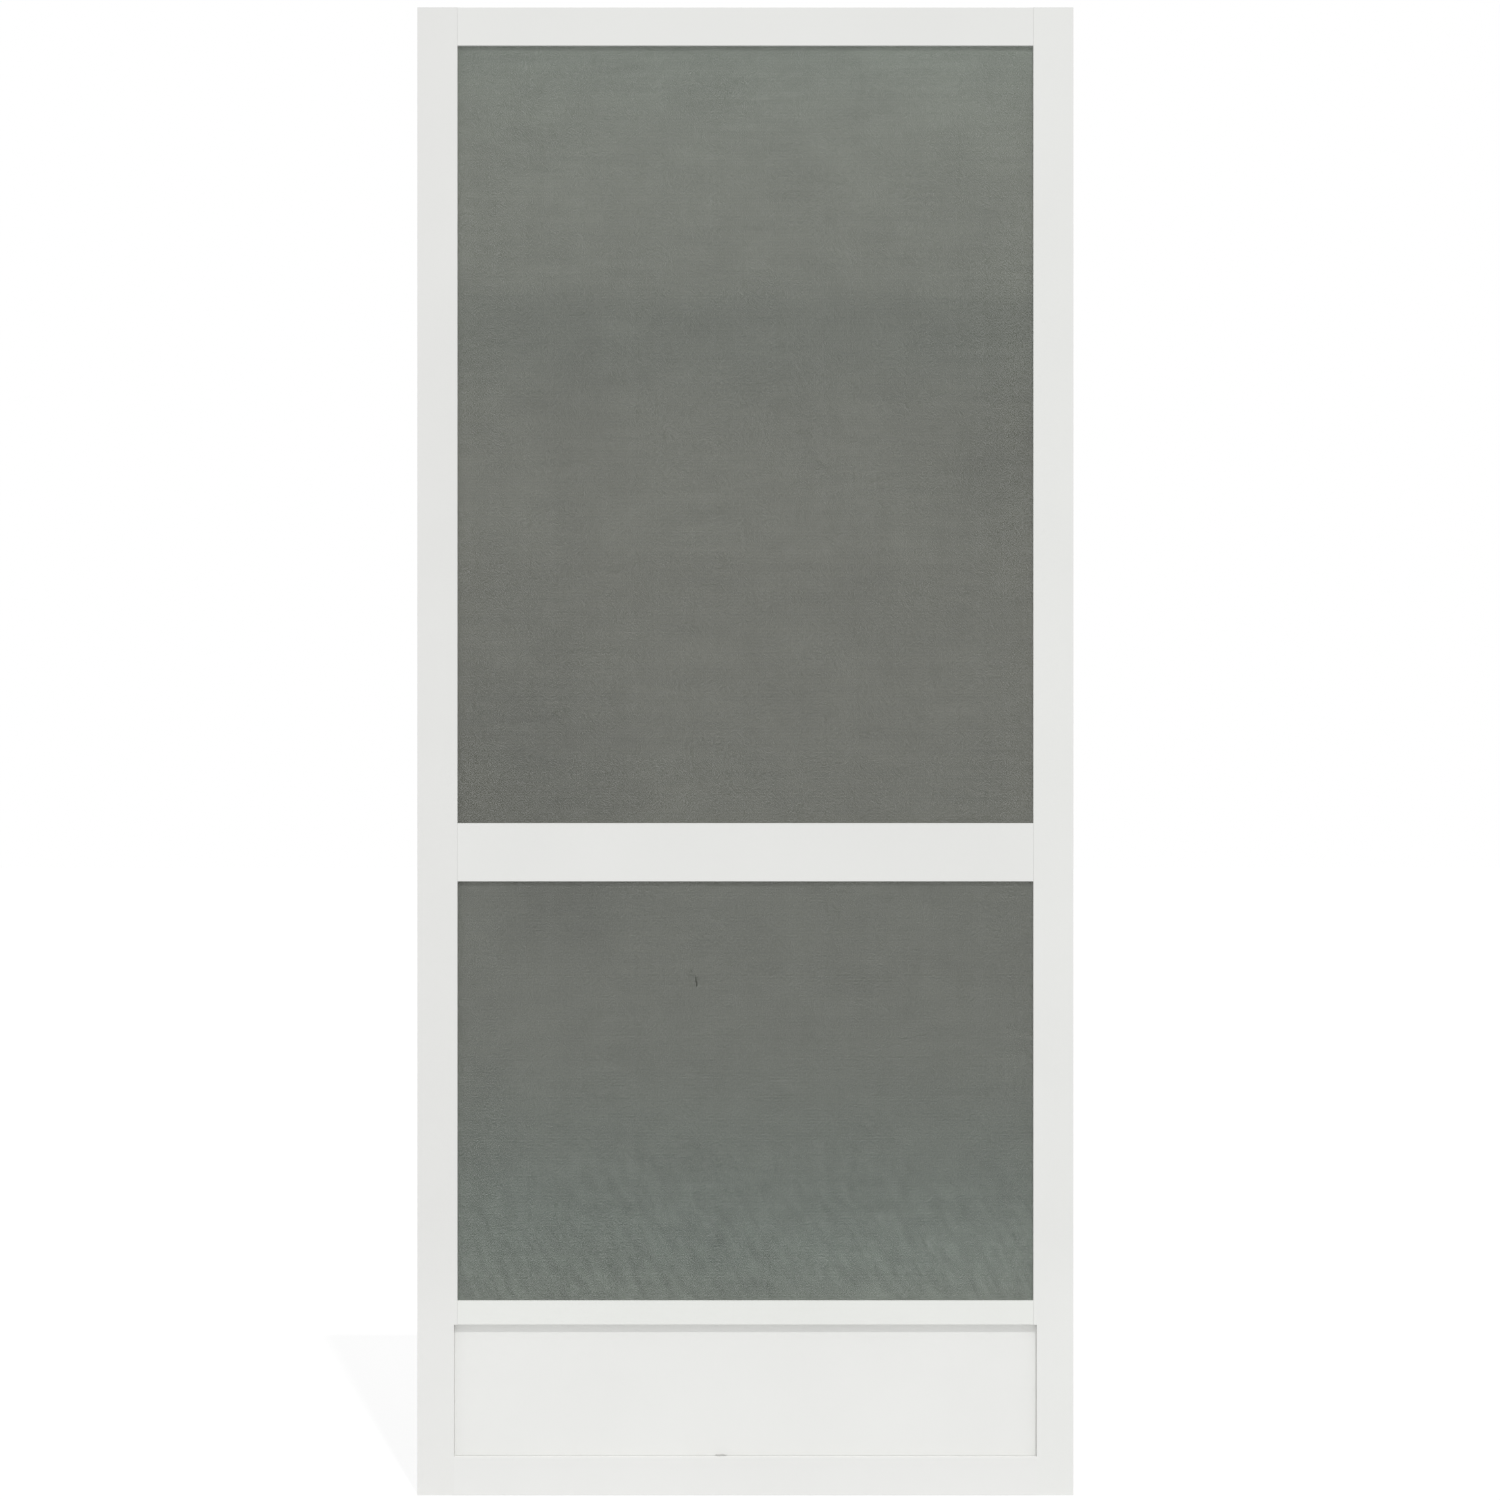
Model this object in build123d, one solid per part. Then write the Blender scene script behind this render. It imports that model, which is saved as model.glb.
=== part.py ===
from build123d import *
import os

# Aluminium screen door leaf. Millimetres.
# X runs across the leaf, from the hinge edge (0) to the latch edge.
# Y runs through it: the outdoor face looks along -Y, the indoor face along +Y.
# Z runs up from the leaf's lower edge.

# Leaf
LEAF_WIDTH = 896.0
LEAF_HEIGHT = 2032.0
LEAF_DEPTH = 25.4

# Hollow extrusions
WALL = 1.2
EDGE_RADIUS = 0.8
LIP_RADIUS = 0.4
STILE_CHAMBER = 50.0
TOP_RAIL_CHAMBER = 47.5
MID_RAIL_CHAMBER = 70.0
KICK_RAIL_CHAMBER = 28.3
BOTTOM_RAIL_CHAMBER = 53.0

# Spline groove beside a chamber: flush front lip, groove open to the back, rib along the opening
GROOVE_WIDTH = 3.6
GROOVE_DEPTH = 3.6
RIB = 1.1
STRIP = GROOVE_WIDTH + RIB

# Heights of the openings
KICK_OPENING = 180.0
LOWER_SCREEN_OPENING = 572.5

# Screw ports inside the rail chambers, and the holes in the stiles that line up with them
PORT_INSET = 11.0
PORT_OUTER_RADIUS = 3.4
PORT_BORE_RADIUS = 2.1
PORT_SLOT = 2.2
SHANK_HOLE_RADIUS = 2.6
ACCESS_HOLE_RADIUS = 4.75

# Joints
JOINT_GAP = 0.1

# Kick panel: a flat sheet with its four edges turned back
PANEL_SHEET = 0.9
PANEL_RECESS = 9.0
PANEL_FLANGE = 12.0
PANEL_CLEARANCE = 0.1
PANEL_BEND = 1.2
PANEL_NOTCH = 2.4

# Screens and the spline cords that hold them
SCREEN_SHEET = 0.4
SCREEN_CLEARANCE = 0.05
TUCK_DEPTH = 3.2
CORD_CLEARANCE = 0.1
CORD_END_GAP = 0.3

FRONT = -LEAF_DEPTH / 2
BACK = LEAF_DEPTH / 2
GROOVE_FLOOR = FRONT + WALL
SCREEN_PLANE = GROOVE_FLOOR + GROOVE_DEPTH
STILE_FACE = STILE_CHAMBER + STRIP
RAIL_LENGTH = LEAF_WIDTH - 2 * STILE_CHAMBER
CORD_RADIUS = (GROOVE_WIDTH - SCREEN_CLEARANCE - SCREEN_SHEET) / 2 - CORD_CLEARANCE

# Heights at which the rails' chambers begin and end
BOTTOM_RAIL_TOP = BOTTOM_RAIL_CHAMBER
KICK_RAIL_BASE = BOTTOM_RAIL_TOP + KICK_OPENING
KICK_RAIL_TOP = KICK_RAIL_BASE + KICK_RAIL_CHAMBER
LOWER_SCREEN_BASE = KICK_RAIL_TOP + STRIP
LOWER_SCREEN_TOP = LOWER_SCREEN_BASE + LOWER_SCREEN_OPENING
MID_RAIL_BASE = LOWER_SCREEN_TOP + STRIP
MID_RAIL_TOP = MID_RAIL_BASE + MID_RAIL_CHAMBER
UPPER_SCREEN_BASE = MID_RAIL_TOP + STRIP
TOP_RAIL_BASE = LEAF_HEIGHT - TOP_RAIL_CHAMBER
UPPER_SCREEN_TOP = TOP_RAIL_BASE - STRIP


def box(x0, x1, y0, y1, z0, z1):
    """A block between two corners."""
    centre = Pos((x0 + x1) / 2, (y0 + y1) / 2, (z0 + z1) / 2)
    return centre * Box(x1 - x0, y1 - y0, z1 - z0)


def rectangle(u0, u1, v0, v1):
    """A flat rectangle between two corners of a section."""
    return Pos((u0 + u1) / 2, (v0 + v1) / 2) * Rectangle(u1 - u0, v1 - v0)


def corners_at(shape, u_values, v_value):
    """The corners of a section that lie at one of the given places."""
    found = []
    for corner in shape.vertices():
        if abs(corner.Y - v_value) > 1e-6:
            continue
        if any(abs(corner.X - u) < 1e-6 for u in u_values):
            found.append(corner)
    return found


def port_places(chamber):
    """Where the screw ports stand across a rail's chamber: two, or one in the middle where two don't fit."""
    if chamber < 2 * (PORT_INSET + PORT_OUTER_RADIUS):
        return (chamber / 2,)
    return (PORT_INSET, chamber - PORT_INSET)


def port(u, chamber):
    """A screw port at mid depth: a ring on a web from the nearer wall, slotted on its far side."""
    reach = (PORT_BORE_RADIUS + PORT_OUTER_RADIUS) / 2
    from_low = u <= chamber / 2
    wall = WALL / 2 if from_low else chamber - WALL / 2
    web_end = u - reach if from_low else u + reach
    slot_end = u + 2 * PORT_OUTER_RADIUS if from_low else u - 2 * PORT_OUTER_RADIUS
    web = rectangle(min(wall, web_end), max(wall, web_end), -WALL / 2, WALL / 2)
    slot = rectangle(min(u, slot_end), max(u, slot_end), -PORT_SLOT / 2, PORT_SLOT / 2)
    ring = Pos(u, 0) * (Circle(PORT_OUTER_RADIUS) - Circle(PORT_BORE_RADIUS))
    return ring - slot + web


def section(chamber, low_strip, high_strip, ports):
    """The section of an extrusion, with its chamber from 0 to chamber along U and its front at FRONT along V."""
    low = -STRIP if low_strip else 0.0
    high = chamber + STRIP if high_strip else chamber
    outline = rectangle(0, chamber, FRONT, BACK)
    rounded = [0.0, chamber]
    if low_strip:
        outline += rectangle(low, 0, FRONT, GROOVE_FLOOR)
        outline += rectangle(low, low + RIB, FRONT, SCREEN_PLANE)
    if high_strip:
        outline += rectangle(chamber, high, FRONT, GROOVE_FLOOR)
        outline += rectangle(high - RIB, high, FRONT, SCREEN_PLANE)
    outline = fillet(corners_at(outline, rounded, BACK), EDGE_RADIUS)
    plain_ends = [end for end, strip in ((low, low_strip), (high, high_strip)) if not strip]
    strip_ends = [end for end, strip in ((low, low_strip), (high, high_strip)) if strip]
    if plain_ends:
        outline = fillet(corners_at(outline, plain_ends, FRONT), EDGE_RADIUS)
    if strip_ends:
        outline = fillet(corners_at(outline, strip_ends, FRONT), LIP_RADIUS)
    hollow = rectangle(WALL, chamber - WALL, FRONT + WALL, BACK - WALL)
    result = outline - hollow
    if ports:
        for place in port_places(chamber):
            result += port(place, chamber)
    return result


def stile():
    """The upright on the hinge side: strip milled off beside the kick panel, holes bored for the rails' screws."""
    upright = extrude(section(STILE_CHAMBER, False, True, False), LEAF_HEIGHT)
    milled = box(STILE_CHAMBER, STILE_FACE + WALL, FRONT - WALL, BACK, -WALL, KICK_RAIL_BASE)
    upright -= milled
    for height in screw_heights():
        across = Pos(0, 0, height) * Rot(0, 90, 0)
        access = across * Cylinder(ACCESS_HOLE_RADIUS, 4 * WALL)
        shank = Pos(STILE_CHAMBER, 0, 0) * across * Cylinder(SHANK_HOLE_RADIUS, 4 * WALL)
        upright -= access
        upright -= shank
    return upright


def screw_heights():
    """Heights of the screws through a stile, one for each port of each rail."""
    heights = []
    rails = (
        (0.0, BOTTOM_RAIL_CHAMBER),
        (KICK_RAIL_BASE, KICK_RAIL_CHAMBER),
        (MID_RAIL_BASE, MID_RAIL_CHAMBER),
        (TOP_RAIL_BASE, TOP_RAIL_CHAMBER),
    )
    for base, chamber in rails:
        for place in port_places(chamber):
            heights.append(base + place)
    return heights


def rail(base, chamber, low_strip, high_strip):
    """A rail whose chamber starts at a height: it butts the stiles' chambers and is coped around their strips."""
    end = LEAF_WIDTH - STILE_CHAMBER
    across = Plane((end, 0, base), x_dir=(0, 0, 1), z_dir=(-1, 0, 0))
    bar = extrude(across * section(chamber, low_strip, high_strip, True), RAIL_LENGTH)
    if not (low_strip or high_strip):
        return bar
    cope_end = STILE_FACE + JOINT_GAP
    cope_back = SCREEN_PLANE + JOINT_GAP
    low = base - STRIP - WALL
    high = base + chamber + STRIP + WALL
    bar -= box(0, cope_end, FRONT - WALL, cope_back, low, high)
    bar -= box(LEAF_WIDTH - cope_end, LEAF_WIDTH, FRONT - WALL, cope_back, low, high)
    return bar


def kick_panel():
    """The flat panel between the kick rail and the bottom rail, its flanges turned towards the back."""
    x0 = STILE_CHAMBER + PANEL_CLEARANCE
    x1 = LEAF_WIDTH - x0
    z0 = BOTTOM_RAIL_TOP + PANEL_CLEARANCE
    z1 = KICK_RAIL_BASE - PANEL_CLEARANCE
    front = FRONT + PANEL_RECESS
    pan = box(x0, x1, front, front + PANEL_FLANGE, z0, z1)
    pan = fillet(pan.faces().sort_by(Axis.Y)[0].edges(), PANEL_BEND)
    hollow = box(
        x0 + PANEL_SHEET,
        x1 - PANEL_SHEET,
        front + PANEL_SHEET,
        front + PANEL_FLANGE + WALL,
        z0 + PANEL_SHEET,
        z1 - PANEL_SHEET,
    )
    hollow = fillet(hollow.faces().sort_by(Axis.Y)[0].edges(), PANEL_BEND - PANEL_SHEET)
    pan -= hollow
    for x in (x0, x1):
        for z in (z0, z1):
            corner = Pos(x, front + PANEL_BEND + PANEL_FLANGE / 2, z)
            pan -= corner * Box(2 * PANEL_NOTCH, PANEL_FLANGE, 2 * PANEL_NOTCH)
    return pan


def screen(base, top):
    """A screen laid on the ribs around its opening, its four edges tucked down into the grooves."""
    tuck = RIB + SCREEN_CLEARANCE
    side = STILE_FACE - tuck
    x0 = side - SCREEN_SHEET
    x1 = LEAF_WIDTH - x0
    z0 = base - tuck - SCREEN_SHEET
    z1 = top + tuck + SCREEN_SHEET
    front = SCREEN_PLANE - TUCK_DEPTH
    cloth = box(x0, x1, SCREEN_PLANE, SCREEN_PLANE + SCREEN_SHEET, z0, z1)
    cloth += box(x0, side, front, SCREEN_PLANE, z0, z1)
    cloth += box(LEAF_WIDTH - side, x1, front, SCREEN_PLANE, z0, z1)
    inner = STILE_FACE + 2 * JOINT_GAP
    cloth += box(inner, LEAF_WIDTH - inner, front, SCREEN_PLANE, z0, z0 + SCREEN_SHEET)
    cloth += box(inner, LEAF_WIDTH - inner, front, SCREEN_PLANE, z1 - SCREEN_SHEET, z1)
    return cloth


def upright_cord(x, base, top):
    """A length of spline in a stile's groove, between two rails."""
    y = GROOVE_FLOOR + CORD_CLEARANCE + CORD_RADIUS
    low = base - STRIP + CORD_END_GAP
    high = top + STRIP - CORD_END_GAP
    return Pos(x, y, (low + high) / 2) * Cylinder(CORD_RADIUS, high - low)


def level_cord(z):
    """A length of spline in a rail's groove, between the stiles' ribs."""
    y = GROOVE_FLOOR + CORD_CLEARANCE + CORD_RADIUS
    length = LEAF_WIDTH - 2 * (STILE_FACE + JOINT_GAP + CORD_END_GAP)
    return Pos(LEAF_WIDTH / 2, y, z) * Rot(0, 90, 0) * Cylinder(CORD_RADIUS, length)


def spline_cords(name, base, top):
    """The four lengths of spline around one screen."""
    inset = CORD_CLEARANCE + CORD_RADIUS
    left = STILE_CHAMBER + inset
    return {
        f"{name}_left": upright_cord(left, base, top),
        f"{name}_right": upright_cord(LEAF_WIDTH - left, base, top),
        f"{name}_bottom": level_cord(base - STRIP + inset),
        f"{name}_top": level_cord(top + STRIP - inset),
    }


def build():
    """Every piece of the leaf by its name."""
    left = stile()
    pieces = {
        "left_stile": left,
        "right_stile": left.mirror(Plane.YZ.offset(LEAF_WIDTH / 2)),
        "bottom_rail": rail(0.0, BOTTOM_RAIL_CHAMBER, False, False),
        "kick_rail": rail(KICK_RAIL_BASE, KICK_RAIL_CHAMBER, False, True),
        "mid_rail": rail(MID_RAIL_BASE, MID_RAIL_CHAMBER, True, True),
        "top_rail": rail(TOP_RAIL_BASE, TOP_RAIL_CHAMBER, True, False),
        "kick_panel": kick_panel(),
        "lower_screen": screen(LOWER_SCREEN_BASE, LOWER_SCREEN_TOP),
        "upper_screen": screen(UPPER_SCREEN_BASE, UPPER_SCREEN_TOP),
    }
    pieces.update(spline_cords("lower_spline", LOWER_SCREEN_BASE, LOWER_SCREEN_TOP))
    pieces.update(spline_cords("upper_spline", UPPER_SCREEN_BASE, UPPER_SCREEN_TOP))
    return pieces


os.makedirs("parts", exist_ok=True)
for name, piece in build().items():
    export_step(piece, f"parts/{name}.step")
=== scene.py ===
"""The looks of an aluminium screen door leaf: coats, woven screens, splines, kick panel and fasteners."""

from __future__ import annotations

import logging
import math
import random
from dataclasses import dataclass
from enum import Enum

import bmesh
import bpy
from mathutils import Matrix, Vector

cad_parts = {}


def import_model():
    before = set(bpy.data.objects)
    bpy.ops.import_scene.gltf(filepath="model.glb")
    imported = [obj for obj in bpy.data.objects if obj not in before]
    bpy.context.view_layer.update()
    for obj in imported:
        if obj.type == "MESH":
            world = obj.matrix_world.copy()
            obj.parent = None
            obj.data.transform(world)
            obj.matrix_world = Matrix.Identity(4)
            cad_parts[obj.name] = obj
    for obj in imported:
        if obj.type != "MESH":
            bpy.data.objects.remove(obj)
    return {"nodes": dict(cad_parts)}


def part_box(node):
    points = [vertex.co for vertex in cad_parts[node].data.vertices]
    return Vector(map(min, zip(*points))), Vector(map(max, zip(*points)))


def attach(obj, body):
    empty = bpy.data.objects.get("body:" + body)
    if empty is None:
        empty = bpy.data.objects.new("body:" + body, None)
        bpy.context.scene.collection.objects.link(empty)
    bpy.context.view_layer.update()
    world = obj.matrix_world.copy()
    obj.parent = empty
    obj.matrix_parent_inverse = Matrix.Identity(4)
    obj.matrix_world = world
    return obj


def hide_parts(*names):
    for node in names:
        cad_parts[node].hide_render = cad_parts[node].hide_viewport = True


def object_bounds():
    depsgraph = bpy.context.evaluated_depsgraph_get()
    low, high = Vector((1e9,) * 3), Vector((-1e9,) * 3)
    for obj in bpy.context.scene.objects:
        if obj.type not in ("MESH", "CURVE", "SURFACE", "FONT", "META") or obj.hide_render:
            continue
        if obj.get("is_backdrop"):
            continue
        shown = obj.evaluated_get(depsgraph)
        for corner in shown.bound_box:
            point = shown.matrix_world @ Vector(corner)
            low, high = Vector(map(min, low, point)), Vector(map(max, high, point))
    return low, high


LOG = logging.getLogger("screen_door")
MM = 0.001
QUARTER_TURN = math.pi / 2
NOISE_LOW = 0.3
NOISE_HIGH = 0.7

Colour = tuple[float, float, float]
Point = tuple[float, float, float]


class Side(Enum):
    """Which stile a piece belongs to."""

    LEFT = "left"
    RIGHT = "right"


class Edge(Enum):
    """Which edge of a screen or panel a piece lies along."""

    TOP = "top"
    BOTTOM = "bottom"
    LEFT = "left"
    RIGHT = "right"


class Yarn(Enum):
    """Which way a thread of the screen runs."""

    WARP = "warp"
    WEFT = "weft"


class Axis(Enum):
    """An axis of the shared frame."""

    X = (1.0, 0.0, 0.0)
    Z = (0.0, 0.0, 1.0)


class Shading(Enum):
    """How a finished mesh is shaded."""

    FLAT = "flat"
    SMOOTH = "smooth"


@dataclass(frozen=True)
class LeafSizes:
    """Sizes of the leaf's extrusions, in metres, that new pieces are placed by."""

    width: float = 896.0 * MM
    height: float = 2032.0 * MM
    wall: float = 1.2 * MM
    stile_chamber: float = 50.0 * MM
    groove: float = 3.6 * MM
    rib: float = 1.1 * MM
    front: float = -12.7 * MM
    groove_depth: float = 3.6 * MM
    port_inset: float = 11.0 * MM

    @property
    def strip(self) -> float:
        """Width of the groove and its rib together."""
        return self.groove + self.rib

    @property
    def screen_plane(self) -> float:
        """Depth at which a screen lies on the ribs."""
        return self.front + self.wall + self.groove_depth

    @property
    def middle(self) -> float:
        """The leaf's middle, across."""
        return self.width / 2


LEAF = LeafSizes()


class ShaderTree:
    """Adds nodes and links to one shader node tree."""

    def __init__(self, tree: bpy.types.NodeTree) -> None:
        """Keeps the material's, world's or group's node tree."""
        self.tree = tree

    def add(self, kind: str, **settings: object) -> bpy.types.Node:
        """Adds a node.

        Args:
            kind: the node's type name.
            settings: its properties by name.

        Returns:
            The new node.
        """
        node = self.tree.nodes.new(kind)
        for name, value in settings.items():
            setattr(node, name, value)
        return node

    def feed(self, source: object, target: bpy.types.NodeSocket) -> None:
        """Links a socket into another one, or sets a plain value on it.

        Args:
            source: an output socket, a number, a vector or a colour.
            target: the input that takes it.
        """
        if isinstance(source, bpy.types.NodeSocket):
            self.tree.links.new(source, target)
        elif isinstance(source, tuple) and target.type == "RGBA":
            target.default_value = (*source, 1.0)
        else:
            target.default_value = source

    def math(self, operation: str, *values: object, clamp: bool = False) -> bpy.types.NodeSocket:
        """Adds a Math node.

        Args:
            operation: its operation.
            values: its inputs, sockets or numbers.
            clamp: whether the result is held between 0 and 1.

        Returns:
            The result.
        """
        node = self.add("ShaderNodeMath", operation=operation, use_clamp=clamp)
        for value, socket in zip(values, node.inputs):
            self.feed(value, socket)
        return node.outputs[0]

    def vector_math(self, operation: str, *values: object) -> bpy.types.Node:
        """Adds a Vector Math node.

        Args:
            operation: its operation.
            values: its inputs, sockets or vectors.

        Returns:
            The node, whose result is its first output, or its second for a length.
        """
        node = self.add("ShaderNodeVectorMath", operation=operation)
        for value, socket in zip(values, node.inputs):
            self.feed(value, socket)
        return node

    def map_range(
        self, value: object, low: float, high: float, to_low: object, to_high: object, smooth: bool = False
    ) -> bpy.types.NodeSocket:
        """Adds a clamped Map Range node.

        Args:
            value: the input.
            low: the input's low end.
            high: the input's high end.
            to_low: what the low end becomes.
            to_high: what the high end becomes.
            smooth: whether the step is eased at both ends.

        Returns:
            The result.
        """
        node = self.add("ShaderNodeMapRange", interpolation_type="SMOOTHSTEP" if smooth else "LINEAR")
        names = ("Value", "From Min", "From Max", "To Min", "To Max")
        for source, name in zip((value, low, high, to_low, to_high), names):
            self.feed(source, node.inputs[name])
        return node.outputs["Result"]

    def mix(self, factor: object, a: object, b: object) -> bpy.types.NodeSocket:
        """Adds a Mix node for colours.

        Args:
            factor: how much of the second colour is taken.
            a: the first colour.
            b: the second colour.

        Returns:
            The mixed colour.
        """
        node = self.add("ShaderNodeMix", data_type="RGBA")
        self.feed(factor, node.inputs[0])
        self.feed(a, node.inputs[6])
        self.feed(b, node.inputs[7])
        return node.outputs[2]

    def scaled(self, colour: object, factor: object) -> bpy.types.NodeSocket:
        """Scales a colour by a factor.

        Args:
            colour: the colour.
            factor: what it is multiplied by.

        Returns:
            The scaled colour.
        """
        node = self.add("ShaderNodeVectorMath", operation="SCALE")
        self.feed(colour, node.inputs[0])
        self.feed(factor, node.inputs["Scale"])
        return node.outputs[0]

    def noise(self, vector: object, scale: object, detail: float = 2.0) -> bpy.types.NodeSocket:
        """Adds a Noise Texture.

        Args:
            vector: the coordinates.
            scale: how many features fit in a metre.
            detail: its octaves.

        Returns:
            The noise, about 0.5 on average.
        """
        node = self.add("ShaderNodeTexNoise")
        self.feed(vector, node.inputs["Vector"])
        self.feed(scale, node.inputs["Scale"])
        self.feed(detail, node.inputs["Detail"])
        return node.outputs[0]

    def spread(self, noise: object, to_low: object, to_high: object) -> bpy.types.NodeSocket:
        """Spreads the range in which most of a noise lies between two values."""
        return self.map_range(noise, NOISE_LOW, NOISE_HIGH, to_low, to_high)

    def object_point(self) -> bpy.types.NodeSocket:
        """The surface point in the shared frame."""
        return self.add("ShaderNodeTexCoord").outputs["Object"]

    def split(self, vector: object) -> bpy.types.Node:
        """Adds a Separate XYZ node.

        Args:
            vector: the vector that it separates.

        Returns:
            The node, whose outputs are the three parts.
        """
        node = self.add("ShaderNodeSeparateXYZ")
        self.feed(vector, node.inputs[0])
        return node

    def height(self) -> bpy.types.NodeSocket:
        """The surface point's height in the shared frame."""
        return self.split(self.object_point()).outputs[2]

    def distance(self, point: object, centre: object, reach: object) -> bpy.types.NodeSocket:
        """Measures how far a point is from a centre, in shares of a reach.

        Args:
            point: the point.
            centre: the centre.
            reach: the reach along each axis.

        Returns:
            The distance, one at the reach.
        """
        away = self.vector_math("SUBTRACT", point, centre).outputs[0]
        scaled = self.vector_math("DIVIDE", away, reach).outputs[0]
        return self.vector_math("LENGTH", scaled).outputs["Value"]


class Effect:
    """A shader node group that several finishes share, built once."""

    name: str = "effect"
    inputs: tuple[tuple[str, str, object], ...] = ()
    outputs: tuple[tuple[str, str], ...] = ()

    def group(self) -> bpy.types.NodeTree:
        """Builds the group the first time that it is asked for.

        Returns:
            The node group.
        """
        if self.name in bpy.data.node_groups:
            return bpy.data.node_groups[self.name]
        tree = bpy.data.node_groups.new(self.name, "ShaderNodeTree")
        for label, kind, default in self.inputs:
            socket = tree.interface.new_socket(label, in_out="INPUT", socket_type=kind)
            socket.default_value = default
        for label, kind in self.outputs:
            tree.interface.new_socket(label, in_out="OUTPUT", socket_type=kind)
        shader = ShaderTree(tree)
        self.fill(shader, shader.add("NodeGroupInput"), shader.add("NodeGroupOutput"))
        return tree

    def fill(self, shader: ShaderTree, given: bpy.types.Node, out: bpy.types.Node) -> None:
        """Adds the nodes that lead from the Group Input to the Group Output."""
        raise NotImplementedError

    def place(self, shader: ShaderTree, **values: object) -> bpy.types.Node:
        """Puts the group into a material.

        Args:
            shader: the material's tree.
            values: values for its inputs, with underscores for spaces.

        Returns:
            The group node.
        """
        node = shader.add("ShaderNodeGroup", node_tree=self.group())
        for name, value in values.items():
            shader.feed(value, node.inputs[name.replace("_", " ")])
        return node


FLOAT = "NodeSocketFloat"
COLOUR = "NodeSocketColor"
VECTOR = "NodeSocketVector"
WHITE4 = (1.0, 1.0, 1.0, 1.0)


class CoatGrain(Effect):
    """The orange peel of a powder coat: broad ripples with a fine grain on them."""

    name = "coat_grain"
    inputs = (("Ripple", FLOAT, 260.0), ("Grain", FLOAT, 1500.0), ("Grain Share", FLOAT, 0.35))
    outputs = (("Height", FLOAT), ("Shine", FLOAT))

    def fill(self, shader: ShaderTree, given: bpy.types.Node, out: bpy.types.Node) -> None:
        """Mixes the two noises into a height, and spreads the ripple as a mask for roughness.

        Args:
            shader: the group's tree.
            given: the Group Input node.
            out: the Group Output node.
        """
        point = shader.object_point()
        ripple = shader.noise(point, given.outputs["Ripple"], detail=1.0)
        grain = shader.noise(point, given.outputs["Grain"])
        fine = shader.math("MULTIPLY", grain, given.outputs["Grain Share"])
        shader.feed(shader.math("ADD", ripple, fine), out.inputs["Height"])
        shader.feed(shader.spread(ripple, 0.0, 1.0), out.inputs["Shine"])


class Mottle(Effect):
    """Slow, faint changes of tone over a surface."""

    name = "mottle"
    inputs = (
        ("Colour", COLOUR, WHITE4),
        ("Scale", FLOAT, 6.0),
        ("Spread", FLOAT, 0.02),
        ("Stretch", VECTOR, (1.0, 1.0, 1.0)),
    )
    outputs = (("Colour", COLOUR),)

    def fill(self, shader: ShaderTree, given: bpy.types.Node, out: bpy.types.Node) -> None:
        """Scales the colour by one plus or minus the spread, following a stretched noise.

        Args:
            shader: the group's tree.
            given: the Group Input node.
            out: the Group Output node.
        """
        point = shader.vector_math("MULTIPLY", shader.object_point(), given.outputs["Stretch"]).outputs[0]
        noise = shader.noise(point, given.outputs["Scale"], detail=3.0)
        swing = shader.math("MULTIPLY", shader.spread(noise, -1.0, 1.0), given.outputs["Spread"])
        tone = shader.math("ADD", swing, 1.0)
        shader.feed(shader.scaled(given.outputs["Colour"], tone), out.inputs["Colour"])


class PaintedFloorBounce(Effect):
    """Painted light: a coat painted a little lighter towards the leaf's foot, standing in for light bounced
    up off the floor.
    """

    name = "painted_floor_bounce"
    inputs = (
        ("Colour", COLOUR, WHITE4),
        ("Low", FLOAT, 0.20),
        ("High", FLOAT, 0.40),
        ("Change", FLOAT, 0.04),
    )
    outputs = (("Colour", COLOUR),)

    def fill(self, shader: ShaderTree, given: bpy.types.Node, out: bpy.types.Node) -> None:
        """Scales the colour up below the low height, and not at all above the high one.

        Args:
            shader: the group's tree.
            given: the Group Input node.
            out: the Group Output node.
        """
        low, high, change = (given.outputs[name] for name in ("Low", "High", "Change"))
        gain = shader.map_range(shader.height(), low, high, change, 0.0, smooth=True)
        tone = shader.math("ADD", gain, 1.0)
        shader.feed(shader.scaled(given.outputs["Colour"], tone), out.inputs["Colour"])


class SettledDust(Effect):
    """Thin dust on faces that look up, thicker in patches."""

    name = "settled_dust"
    inputs = (("Colour", COLOUR, WHITE4), ("Dust", COLOUR, (0.5, 0.48, 0.44, 1.0)), ("Amount", FLOAT, 0.3))
    outputs = (("Colour", COLOUR), ("Mask", FLOAT))
    facing_from: float = 0.35
    facing_full: float = 0.95
    patch_scale: float = 38.0
    patch_from: float = 0.35
    patch_full: float = 0.65
    thinnest: float = 0.25

    def fill(self, shader: ShaderTree, given: bpy.types.Node, out: bpy.types.Node) -> None:
        """Mixes the dust in by how far the face looks up, broken by a noise.

        Args:
            shader: the group's tree.
            given: the Group Input node.
            out: the Group Output node.
        """
        up = shader.split(shader.add("ShaderNodeNewGeometry").outputs["Normal"]).outputs[2]
        facing = shader.map_range(up, self.facing_from, self.facing_full, 0.0, 1.0, smooth=True)
        noise = shader.noise(shader.object_point(), self.patch_scale, detail=4.0)
        patches = shader.map_range(noise, self.patch_from, self.patch_full, self.thinnest, 1.0)
        mask = shader.math("MULTIPLY", shader.math("MULTIPLY", facing, patches), given.outputs["Amount"])
        shader.feed(shader.mix(mask, given.outputs["Colour"], given.outputs["Dust"]), out.inputs["Colour"])
        shader.feed(mask, out.inputs["Mask"])


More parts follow.
